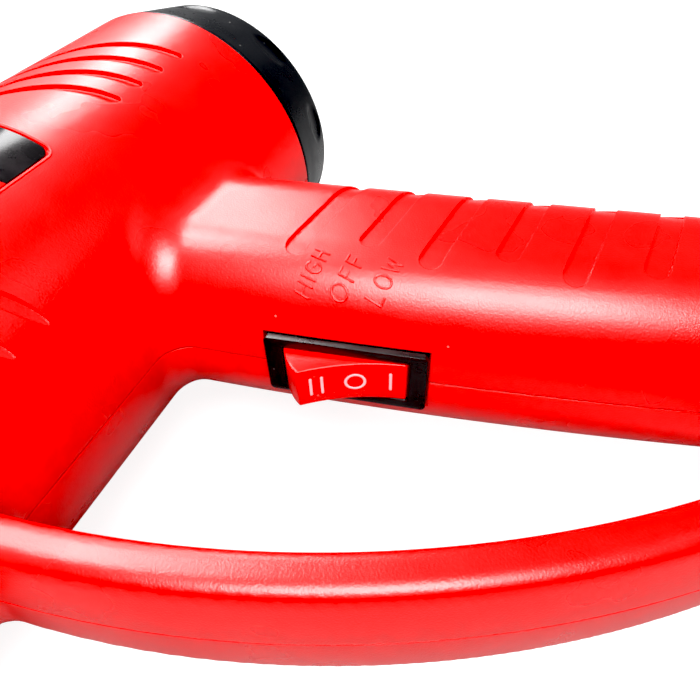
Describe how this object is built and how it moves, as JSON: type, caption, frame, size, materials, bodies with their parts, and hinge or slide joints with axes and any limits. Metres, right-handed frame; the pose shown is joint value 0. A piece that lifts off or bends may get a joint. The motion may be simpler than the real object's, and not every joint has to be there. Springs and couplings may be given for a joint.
{
  "type": "heat gun",
  "caption": "Hot-air gun: round red barrel with vented black rear cap, steel nozzle, raked handle with rocker switch, and D-shaped finger guard.",
  "frame": {"origin": "centre of the flat rear face of the rear cap, on the barrel's axis", "axes": "+X along the barrel to the nozzle, +Y down the handle, +Z the gun's left side; at rest the gun lies on its right side"},
  "size_m": [0.23, 0.2187, 0.077],
  "materials": {
    "red_abs": "satin gloss, fine grain",
    "black_nylon": "satin",
    "switch_black": "fine spark texture",
    "rocker_red": "polished, white marks",
    "label_black": "glossy printed film",
    "label_silver": "printed film",
    "steel": "rolled, turned",
    "screw_steel": "zinc plated",
    "screen_steel": "dark",
    "ceramic": "fired ceramic",
    "mica": "pressed sheet",
    "heater_wire": "oxidised",
    "brass": "stamped",
    "bronze": "sintered",
    "copper": "turned",
    "dark_grey": "moulded",
    "board_green": "lacquered",
    "lead_brown": "soft insulation",
    "lead_blue": "soft insulation",
    "lead_white": "soft insulation"
  },
  "bodies": {
    "housing": {"housing_left": "red_abs", "housing_right": "red_abs", "rear_cap": "black_nylon", "inlet_screen": "screen_steel", "label_plate": "label_black", "rating_plate": "label_silver", "nozzle_tube": "steel", "nose_ring": "ceramic", "mica_sleeve": "mica", "mica_cross": "mica", "heater_base": "ceramic", "heater_coil_low": "heater_wire", "heater_coil_high": "heater_wire", "thermal_cutout": "brass", "motor_can": "steel", "motor_end_bell": "black_nylon", "motor_bearing_front": "bronze", "motor_bearing_rear": "bronze", "magnet_upper": "dark_grey", "magnet_lower": "dark_grey", "brush_left": "dark_grey", "brush_right": "dark_grey", "motor_mount": "black_nylon", "fan_duct": "black_nylon", "switch_body": "switch_black", "cord_gland": "black_nylon", "cord_clamp": "black_nylon", "terminal_block": "black_nylon", "clamp_screw_1": "screw_steel", "clamp_screw_2": "screw_steel", "lead_live": "lead_brown", "lead_neutral": "lead_blue", "lead_heater": "lead_white", "rectifier_board": "board_green", "switch_terminal_1": "brass", "switch_terminal_2": "brass", "switch_terminal_3": "brass", "housing_screw_1": "screw_steel", "housing_screw_2": "screw_steel", "housing_screw_3": "screw_steel", "housing_screw_4": "screw_steel", "housing_screw_5": "screw_steel", "housing_screw_6": "screw_steel", "housing_screw_7": "screw_steel", "diode_1": "dark_grey", "diode_2": "dark_grey", "diode_3": "dark_grey", "diode_4": "dark_grey"},
    "rotor": {"motor_shaft": "steel", "armature": "steel", "commutator": "copper", "fan_impeller": "black_nylon"},
    "rocker": {"switch_rocker": "rocker_red", "rocker_plunger": "brass", "rocker_spring": "steel"},
    "contact": {"switch_contact": "brass"}
  },
  "joints": [
    {"name": "rocker_tilt", "type": "hinge", "parent": "housing", "child": "rocker", "pos_m": [0.08145, 0.07514, 0], "axis": [0, 0, -1], "range_deg": [0, 32]},
    {"name": "contact_tip", "type": "hinge", "parent": "housing", "child": "contact", "pos_m": [0.0698, 0.0733, 0], "axis": [0, 0, -1], "range_deg": [-16, 0]},
    {"name": "rotor_spin", "type": "hinge", "parent": "housing", "child": "rotor", "pos_m": [0.03, 0, 0], "axis": [1, 0, 0], "continuous": true}
  ],
  "couplings": [
    {"joint": "contact_tip", "follows": "rocker_tilt", "ratio": -0.5}
  ]
}
